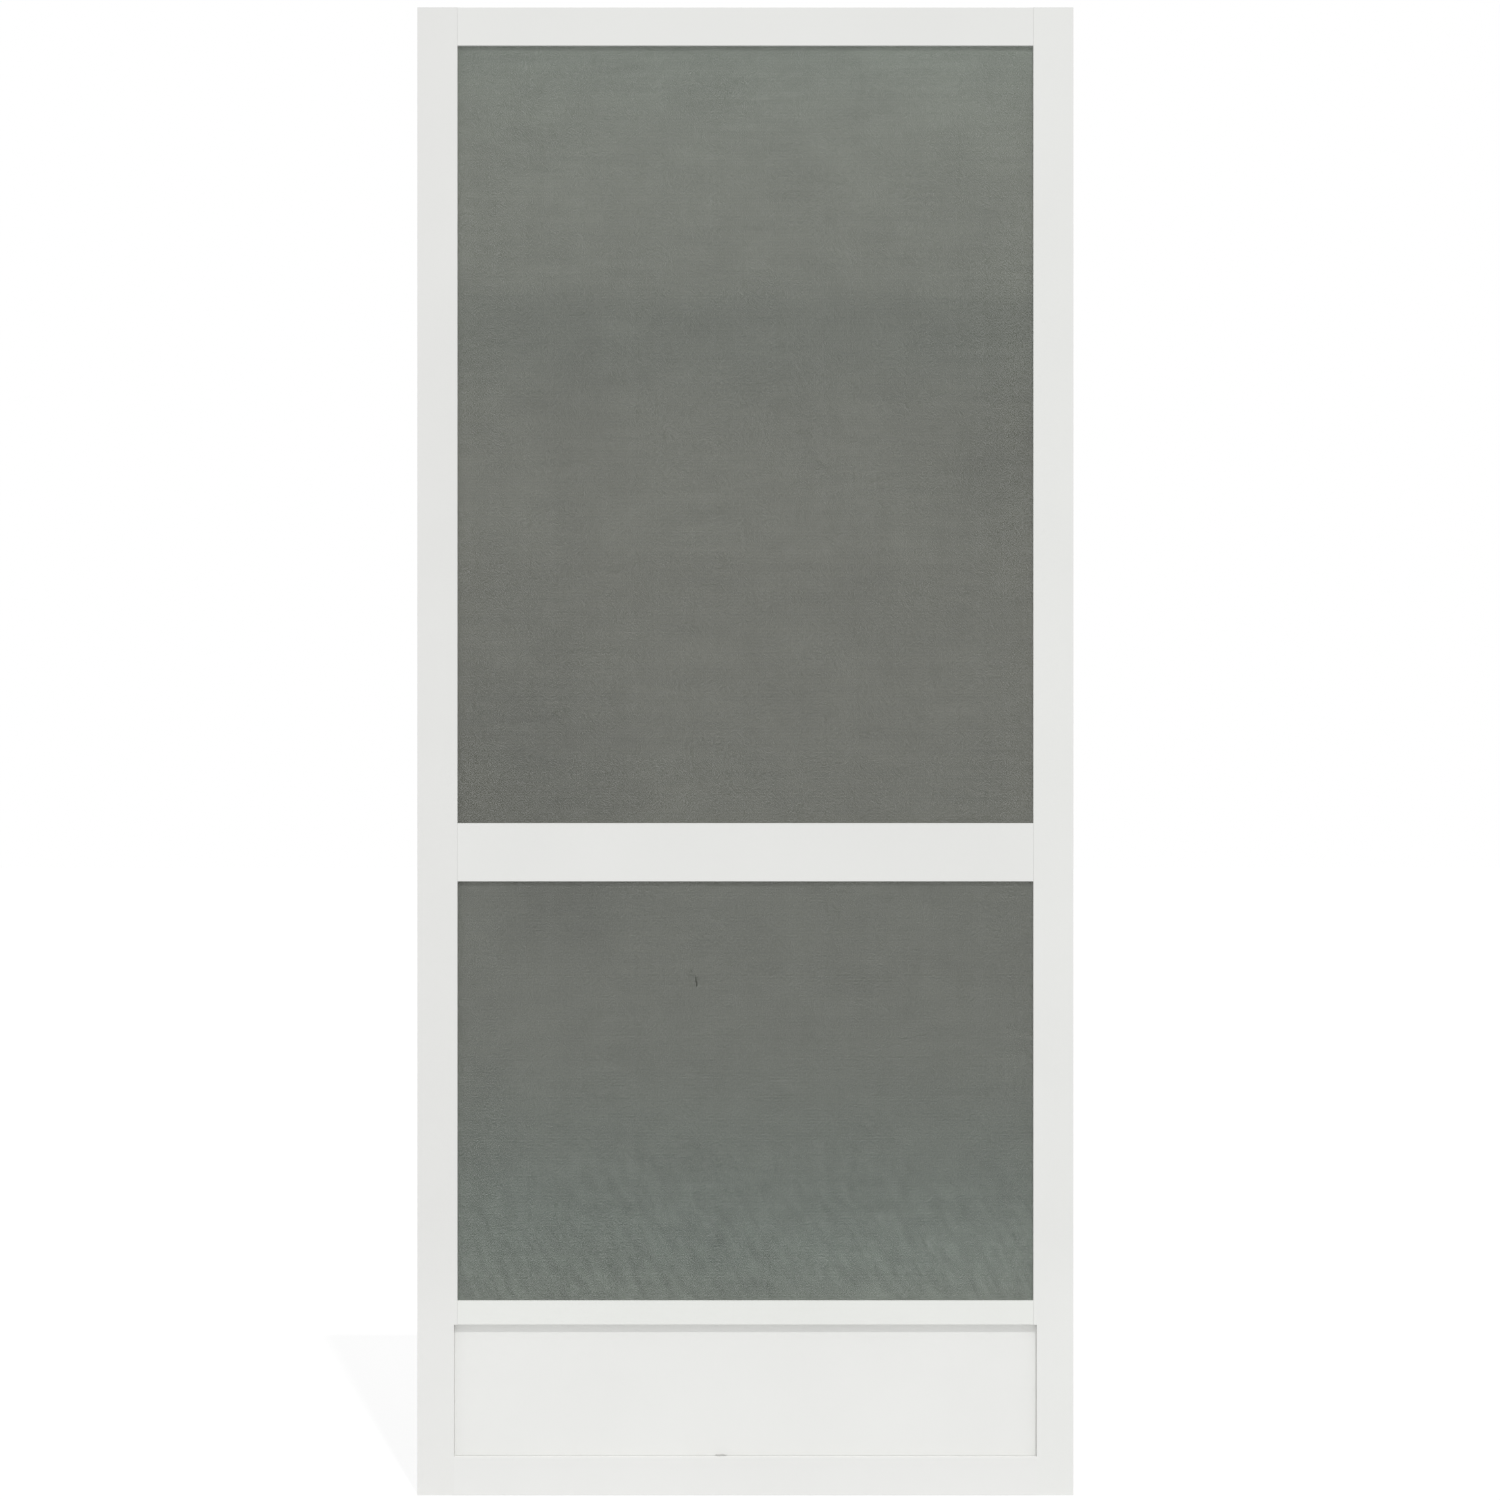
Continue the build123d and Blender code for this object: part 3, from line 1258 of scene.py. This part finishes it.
def lathe(profile: list[tuple[float, float]], steps: int) -> bmesh.types.BMesh:
    """Turns a profile about the Z axis into a closed shape.

    Args:
        profile: radius and height of each point, the first and last on the axis.
        steps: how many sides the turned shape has.

    Returns:
        The shape.
    """
    mesh = bmesh.new()
    verts = [mesh.verts.new((radius, 0.0, height)) for radius, height in profile]
    edges = [mesh.edges.new(pair) for pair in zip(verts, verts[1:])]
    bmesh.ops.spin(
        mesh,
        geom=[*verts, *edges],
        cent=(0.0, 0.0, 0.0),
        axis=Axis.Z.value,
        dvec=(0.0, 0.0, 0.0),
        angle=2 * math.pi,
        steps=steps,
        use_merge=True,
        use_duplicate=False,
    )
    bmesh.ops.remove_doubles(mesh, verts=mesh.verts, dist=1e-7)
    bmesh.ops.recalc_face_normals(mesh, faces=mesh.faces)
    return mesh


def join(parts: list[tuple[bmesh.types.BMesh, Matrix]]) -> bmesh.types.BMesh:
    """Joins shapes, each moved to its place.

    Args:
        parts: each shape and where it goes; the shapes are freed.

    Returns:
        The joined shape.
    """
    whole = bmesh.new()
    for part, place in parts:
        bmesh.ops.transform(part, matrix=place, verts=part.verts)
        data = bpy.data.meshes.new("part")
        part.to_mesh(data)
        part.free()
        whole.from_mesh(data)
        bpy.data.meshes.remove(data)
    return whole


def gather(parts: list[bmesh.types.BMesh]) -> bmesh.types.BMesh:
    """Joins shapes that are in their places already."""
    return join([(part, Matrix.Identity(4)) for part in parts])


@dataclass(frozen=True)
class BlindRivet:
    """A dome-head blind rivet with the broken stem in its middle."""

    head_radius: float = 3.2 * MM
    head_height: float = 1.1 * MM
    stem_radius: float = 0.9 * MM
    stem_gap: float = 0.1 * MM
    body_depth: float = 0.4 * MM
    sides: int = 20

    def build(self) -> bmesh.types.BMesh:
        """Builds one rivet, its seat at zero and its dome towards +Z.

        Returns:
            The rivet.
        """
        r, h, s = self.head_radius, self.head_height, self.stem_radius
        profile = [
            (0.0, -self.body_depth),
            (0.5 * r, -self.body_depth),
            (0.5 * r, 0.0),
            (r, 0.0),
            (0.97 * r, 0.25 * h),
            (0.80 * r, 0.68 * h),
            (0.52 * r, 0.95 * h),
            (s + self.stem_gap, h),
            (s, 0.62 * h),
            (0.7 * s, 0.80 * h),
            (0.0, 0.82 * h),
        ]
        return lathe(profile, self.sides)


@dataclass(frozen=True)
class HexScrew:
    """A hex washer-head screw that clamps a rail to a stile."""

    washer_radius: float = 4.2 * MM
    washer_height: float = 0.8 * MM
    hex_radius: float = 3.67 * MM
    head_height: float = 3.6 * MM
    shank_radius: float = 2.05 * MM
    shank_length: float = 19.0 * MM
    point_length: float = 3.0 * MM
    point_share: float = 0.35
    rim_share: float = 0.6
    washer_chamfer: float = 0.25 * MM
    head_chamfer: float = 0.5 * MM
    chamfer_steps: int = 2
    sides: int = 24

    def build(self) -> bmesh.types.BMesh:
        """Builds one screw, its seat at zero, its head towards +Z and its shank below.

        Returns:
            The screw.
        """
        body = lathe(
            [
                (0.0, -self.shank_length),
                (self.point_share * self.shank_radius, -self.shank_length),
                (self.shank_radius, -self.shank_length + self.point_length),
                (self.shank_radius, 0.0),
                (self.washer_radius, 0.0),
                (self.washer_radius, self.rim_share * self.washer_height),
                (self.washer_radius - self.washer_chamfer, self.washer_height),
                (0.0, self.washer_height),
            ],
            self.sides,
        )
        head = bmesh.new()
        bmesh.ops.create_circle(head, cap_ends=True, segments=6, radius=self.hex_radius)
        top, _ = extrude(head, head.faces[:], (0.0, 0.0, self.head_height))
        rim = [edge for edge in head.edges if all(vert in top for vert in edge.verts)]
        round_off(head, rim, self.head_chamfer, self.chamfer_steps)
        bmesh.ops.recalc_face_normals(head, faces=head.faces)
        return gather([body, head])


@dataclass(frozen=True)
class LeafFrame:
    """The coated frame: two stiles, four rails, and the screws that join them."""

    screw: HexScrew = HexScrew()
    mark: Spot | None = None

    def coat(self, nodes: dict[str, bpy.types.Object]) -> None:
        """Gives the stiles and the rails their coat.

        Args:
            nodes: the CAD nodes by name.
        """
        # Painted light: the kick rail's and bottom rail's coats are lighter than the top and mid rails', and
        # the stiles are painted lighter towards their foot, all standing in for light bounced off the floor.
        # The right stile's coat is set a little lighter than the left's.
        coats = (
            (PowderCoat("rail_coat"), ("top_rail", "mid_rail")),
            (PowderCoat("kick_rail_coat", (0.820, 0.830, 0.802)), ("kick_rail",)),
            (PowderCoat("bottom_rail_coat", (0.828, 0.830, 0.813), mark=self.mark), ("bottom_rail",)),
            (
                PowderCoat("left_stile_coat", (0.778, 0.779, 0.762), painted_foot_light=0.050, sawn=True),
                ("left_stile",),
            ),
            (
                PowderCoat("right_stile_coat", (0.795, 0.800, 0.780), painted_foot_light=0.035, sawn=True),
                ("right_stile",),
            ),
        )
        for coat, names in coats:
            material = coat.material()
            for name in names:
                dress(nodes[name], material)

    def screw_heights(self) -> list[float]:
        """Heights of the screws: two for each rail, one for the kick rail.

        Returns:
            The heights, from the foot up.
        """
        heights = []
        rails = (("bottom_rail", 0, 0), ("kick_rail", 0, 1), ("mid_rail", 1, 1), ("top_rail", 1, 0))
        for name, strips_below, strips_above in rails:
            low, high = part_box(name)
            base = low.z + strips_below * LEAF.strip
            top = high.z - strips_above * LEAF.strip
            if name == "kick_rail":
                heights.append((base + top) / 2)
            else:
                heights += [base + LEAF.port_inset, top - LEAF.port_inset]
        return heights

    def screws(self) -> list[bpy.types.Object]:
        """Builds the screws of both stiles.

        Returns:
            One piece for each stile.
        """
        zinc = PlainMetal("zinc_screw", (0.72, 0.72, 0.70), (0.50, 0.50, 0.49), 0.28).material()
        pieces = []
        for side in Side:
            seat = LEAF.stile_chamber - LEAF.wall
            x = seat if side is Side.LEFT else LEAF.width - seat
            turn = Matrix.Rotation(-QUARTER_TURN if side is Side.LEFT else QUARTER_TURN, 4, "Y")
            places = [Matrix.Translation((x, 0.0, height)) @ turn for height in self.screw_heights()]
            parts = [(self.screw.build(), place) for place in places]
            pieces.append(finish_piece(f"{side.value}_stile_screws", join(parts), zinc, Shading.FLAT))
        return pieces


@dataclass(frozen=True)
class KickPanel:
    """The recessed panel: a folded pan of coated sheet, held by rivets through its flanges."""

    rivet: BlindRivet = BlindRivet()
    sheet: float = 0.9 * MM
    fold: float = 0.35 * MM
    fold_steps: int = 3
    notch: float = 2.4 * MM
    rivet_depth: float = 7.2 * MM
    long_count: int = 6
    short_count: int = 2
    end_margin: float = 45.0 * MM
    mark: Spot | None = None

    def pan(self) -> bpy.types.Object:
        """Builds the pan: a flat front, folded back along its four edges, with notched corners.

        Returns:
            The piece.
        """
        low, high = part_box("kick_panel")
        mesh = bmesh.new()
        bmesh.ops.create_cube(mesh, size=1.0)
        bmesh.ops.scale(mesh, verts=mesh.verts, vec=(high.x - low.x, self.sheet, high.z - low.z))
        centre = ((low.x + high.x) / 2, low.y + self.sheet / 2, (low.z + high.z) / 2)
        bmesh.ops.translate(mesh, verts=mesh.verts, vec=centre)
        rim = [edge for edge in mesh.edges if all(vert.co.y < centre[1] for vert in edge.verts)]
        round_off(mesh, rim, self.fold, self.fold_steps)
        for axis, start, end in ((Axis.X, low.x, high.x), (Axis.Z, low.z, high.z)):
            for inset in (self.sheet, self.notch):
                for cut in (start + inset, end - inset):
                    bmesh.ops.bisect_plane(
                        mesh,
                        geom=[*mesh.verts, *mesh.edges, *mesh.faces],
                        plane_co=Vector(axis.value) * cut,
                        plane_no=axis.value,
                    )
        roots = [face for face in mesh.faces if face.normal.y > 0.9 and self.carries_flange(face, low, high)]
        extrude(mesh, roots, (0.0, high.y - low.y - self.sheet, 0.0))
        close_up(mesh)
        # Painted light: the panel's coat is lighter than the upper rails', standing in for light bounced off
        # the floor.
        coat = PowderCoat("panel_coat", colour=(0.836, 0.839, 0.820), mark=self.mark).material()
        piece = finish_piece("kick_panel_pan", mesh, coat, Shading.FLAT)
        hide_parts("kick_panel")
        return piece

    def carries_flange(self, face: bmesh.types.BMFace, low: Vector, high: Vector) -> bool:
        """Whether a face on the pan's back is the root of a flange.

        Args:
            face: the face.
            low: the pan's lowest corner.
            high: its highest corner.

        Returns:
            True within a sheet's thickness of one edge and clear of the other edges' notches.
        """
        centre = face.calc_center_median()
        across = min(centre.x - low.x, high.x - centre.x)
        upright = min(centre.z - low.z, high.z - centre.z)
        return min(across, upright) < self.sheet and max(across, upright) > self.notch

    def places(self, edge: Edge) -> list[Matrix]:
        """Where the rivets of one flange go.

        Args:
            edge: the flange.

        Returns:
            A matrix for each rivet.
        """
        low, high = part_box("kick_panel")
        y = low.y + self.rivet_depth
        level = edge in (Edge.TOP, Edge.BOTTOM)
        count = self.long_count if level else self.short_count
        start, end = (low.x, high.x) if level else (low.z, high.z)
        start, end = start + self.end_margin, end - self.end_margin
        seat, turn = {
            Edge.BOTTOM: (low.z + self.sheet, Matrix.Identity(4)),
            Edge.TOP: (high.z - self.sheet, Matrix.Rotation(math.pi, 4, "X")),
            Edge.LEFT: (low.x + self.sheet, Matrix.Rotation(QUARTER_TURN, 4, "Y")),
            Edge.RIGHT: (high.x - self.sheet, Matrix.Rotation(-QUARTER_TURN, 4, "Y")),
        }[edge]
        runs = [start + (end - start) * index / (count - 1) for index in range(count)]
        points = [(run, y, seat) if level else (seat, y, run) for run in runs]
        return [Matrix.Translation(point) @ turn for point in points]

    def rivets(self) -> bpy.types.Object:
        """Builds all the rivets as one piece.

        Returns:
            The piece.
        """
        metal = PlainMetal("rivet_aluminium", (0.84, 0.85, 0.86), (0.66, 0.67, 0.68), 0.30).material()
        parts = [(self.rivet.build(), place) for edge in Edge for place in self.places(edge)]
        return finish_piece("kick_panel_rivets", join(parts), metal, Shading.SMOOTH)


@dataclass(frozen=True)
class PhotoFrame:
    """Where the leaf stands in the photograph, in pixels of its 1500 by 1500 frame."""

    size: float = 1500.0
    left: float = 416.8
    right: float = 1073.0
    top: float = 6.8
    bottom: float = 1494.9

    @property
    def scale(self) -> float:
        """Metres to a pixel at the leaf's front."""
        return LEAF.height / (self.bottom - self.top)

    def place(self, x: float, y: float) -> tuple[float, float]:
        """How far across the leaf and how high a pixel of the photograph lies, in metres."""
        return LEAF.middle + (x - (self.left + self.right) / 2) * self.scale, (self.bottom - y) * self.scale

    def spot(self, x: float, y: float, half_width: float, half_height: float, change: float) -> Spot:
        """A painted patch of light or shade on a screen, by its place in the photograph.

        Args:
            x: its column.
            y: its row.
            half_width: its reach across, in pixels.
            half_height: its reach up and down, in pixels.
            change: how much lighter it is, or darker if negative.

        Returns:
            The spot.
        """
        across, height = self.place(x, y)
        reach = (half_width * self.scale, 1.0, half_height * self.scale)
        return Spot((across, LEAF.screen_plane, height), reach, change)


PHOTO = PhotoFrame()


@dataclass(frozen=True)
class Studio:
    """A white studio: soft light all round, one key from the upper right, a pale floor and the camera."""

    ambient: float = 0.754
    key_strength: float = 1.08
    key_from: Point = (1.7, -9.0, 11.8)
    key_angle: float = 1.2
    floor_half: float = 30.0
    floor_bounce: float = 0.8
    floor_seen: float = 0.26
    floor_glow: float = 0.78
    lens: float = 100.0
    sensor: float = 36.0

    def seen_ray(self, shader: ShaderTree) -> bpy.types.NodeSocket:
        """One for rays that show a surface to the camera, straight or by gloss or through glass.

        Args:
            shader: the world's or the floor's tree.

        Returns:
            One or zero.
        """
        path = shader.add("ShaderNodeLightPath")
        seen = shader.math("ADD", path.outputs["Is Camera Ray"], path.outputs["Is Glossy Ray"], clamp=True)
        return shader.math("ADD", seen, path.outputs["Is Transmission Ray"], clamp=True)

    def world(self) -> None:
        """Lights the scene from all round, and shows white behind the leaf."""
        world = bpy.data.worlds.new("studio_world")
        bpy.context.scene.world = world
        world.use_nodes = True
        world.node_tree.nodes.clear()
        shader = ShaderTree(world.node_tree)
        background = shader.add("ShaderNodeBackground")
        output = shader.add("ShaderNodeOutputWorld")
        shader.feed((1.0, 1.0, 1.0), background.inputs["Color"])
        strength = shader.map_range(self.seen_ray(shader), 0.0, 1.0, self.ambient, 1.0)
        shader.feed(strength, background.inputs["Strength"])
        shader.feed(background.outputs[0], output.inputs["Surface"])

    def key(self) -> None:
        """Adds the key light, which draws the crisp shadow above the kick panel."""
        lamp = bpy.data.lights.new("key", "SUN")
        lamp.energy = self.key_strength
        lamp.angle = math.radians(self.key_angle)
        light = bpy.data.objects.new("key", lamp)
        light.rotation_mode = "QUATERNION"
        light.rotation_quaternion = Vector(self.key_from).to_track_quat("Z", "Y")
        bpy.context.scene.collection.objects.link(light)

    def floor(self) -> None:
        """Lays the white floor, which keeps a faint shadow of the leaf."""
        mesh = bmesh.new()
        bmesh.ops.create_grid(mesh, x_segments=1, y_segments=1, size=self.floor_half)
        data = bpy.data.meshes.new("studio_floor")
        mesh.to_mesh(data)
        mesh.free()
        floor = bpy.data.objects.new("studio_floor", data)
        bpy.context.scene.collection.objects.link(floor)
        material = bpy.data.materials.new("studio_floor")
        material.use_nodes = True
        material.node_tree.nodes.clear()
        shader = ShaderTree(material.node_tree)
        seen = self.seen_ray(shader)
        diffuse = shader.add("ShaderNodeBsdfDiffuse")
        glow = shader.add("ShaderNodeEmission")
        both = shader.add("ShaderNodeAddShader")
        output = shader.add("ShaderNodeOutputMaterial")
        greys = [(level, level, level) for level in (self.floor_bounce, self.floor_seen)]
        shader.feed(shader.mix(seen, *greys), diffuse.inputs["Color"])
        shader.feed(shader.map_range(seen, 0.0, 1.0, 0.0, self.floor_glow), glow.inputs["Strength"])
        shader.feed(diffuse.outputs[0], both.inputs[0])
        shader.feed(glow.outputs[0], both.inputs[1])
        shader.feed(both.outputs[0], output.inputs["Surface"])
        data.materials.append(material)
        floor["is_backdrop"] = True

    def camera(self, low: Vector, high: Vector) -> None:
        """Sets the camera square to the leaf, with the photograph's frame.

        Args:
            low: the leaf's lowest corner.
            high: the leaf's highest corner.
        """
        distance = PHOTO.scale * PHOTO.size * self.lens / self.sensor
        centre = PHOTO.size / 2 - 0.5
        across = centre - (PHOTO.left + PHOTO.right) / 2
        up = (PHOTO.top + PHOTO.bottom) / 2 - centre
        data = bpy.data.cameras.new("camera")
        data.lens = self.lens
        data.sensor_width = self.sensor
        camera = bpy.data.objects.new("camera", data)
        camera.location = (
            (low.x + high.x) / 2 + across * PHOTO.scale,
            low.y - distance,
            (low.z + high.z) / 2 + up * PHOTO.scale,
        )
        camera.rotation_euler = (QUARTER_TURN, 0.0, 0.0)
        bpy.context.scene.collection.objects.link(camera)
        bpy.context.scene.camera = camera


# The upper screen's levels and patches paint light and reflection into its yarn: lighter and cooler towards
# the top, with soft lighter and darker patches.
UPPER_YARN = CoatedYarn(
    "upper_screen_yarn",
    levels=(
        Level(0.918, 0.995, 0.00),
        Level(1.150, 1.042, 0.00),
        Level(1.270, 1.048, 0.00),
        Level(1.295, 1.100, 0.03),
        Level(1.460, 1.090, 0.12),
        Level(1.615, 1.030, 0.34),
        Level(1.655, 1.175, 0.28),
        Level(1.820, 1.305, 0.34),
        Level(1.980, 1.340, 0.72),
    ),
    spots=(
        PHOTO.spot(x=975, y=75, half_width=330, half_height=130, change=0.10),
        PHOTO.spot(x=1020, y=470, half_width=130, half_height=110, change=-0.15),
        PHOTO.spot(x=570, y=430, half_width=60, half_height=190, change=-0.07),
        PHOTO.spot(x=505, y=770, half_width=190, half_height=200, change=-0.13),
    ),
)
# The lower screen's levels and patches paint light and reflection into its yarn, and its ripple lays slanting
# bands of lighter and darker tone on its lower half.
LOWER_YARN = CoatedYarn(
    "lower_screen_yarn",
    levels=(
        Level(0.266, 1.115, 0.80),
        Level(0.370, 0.985, 1.00),
        Level(0.480, 0.935, 0.72),
        Level(0.640, 0.955, 0.28),
        Level(0.838, 0.940, 0.22),
    ),
    spots=(
        PHOTO.spot(x=960, y=1280, half_width=260, half_height=120, change=0.13),
        PHOTO.spot(x=565, y=895, half_width=110, half_height=90, change=-0.12),
    ),
    ripple=0.17,
)
SNAG_YARN = CoatedYarn("snag_yarn", levels=(Level(0.60, 0.60, 0.1), Level(0.80, 0.60, 0.1)))
LONG_LOOP_PIXEL = (696, 981)
SHORT_LOOP_PIXEL = (691, 970)
SNAGS = (
    Snag(*PHOTO.place(*LONG_LOOP_PIXEL), length=14.0 * MM, width=2.0 * MM, bow=0.9 * MM),
    Snag(*PHOTO.place(*SHORT_LOOP_PIXEL), length=5.0 * MM, width=1.2 * MM, bow=0.5 * MM),
)
MARK_PIXEL = (720, 1456)
MARK_ACROSS, MARK_HEIGHT = PHOTO.place(*MARK_PIXEL)
MARK_CENTRE = (MARK_ACROSS, -4.0 * MM, MARK_HEIGHT)
MARK = Spot(MARK_CENTRE, reach=(10.5 * MM, 9.0 * MM, 2.0 * MM), change=0.32)


def main() -> None:
    """Builds the scene in order and reports each piece."""
    logging.basicConfig(level=logging.INFO, format="%(message)s")
    bpy.context.scene.view_settings.view_transform = "Standard"
    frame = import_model()
    cad_low, cad_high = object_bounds()
    studio = Studio()
    studio.world()
    studio.key()
    studio.floor()
    studio.camera(cad_low, cad_high)
    leaf = LeafFrame(mark=MARK)
    leaf.coat(frame["nodes"])
    panel = KickPanel(mark=MARK)
    pieces = [*leaf.screws(), panel.pan(), panel.rivets()]
    pieces += Screen("upper_screen", "mid_rail", "top_rail", UPPER_YARN).build()
    pieces += Screen("lower_screen", "kick_rail", "mid_rail", LOWER_YARN, seed=11).build()
    loops = gather([loop.build() for loop in SNAGS])
    snag = finish_piece("lower_screen_snag", loops, SNAG_YARN.material(), Shading.SMOOTH)
    pieces.append(snag)
    for piece in pieces:
        LOG.info("%s: %d faces", piece.name, len(piece.data.polygons))


if __name__ == "__main__":
    main()
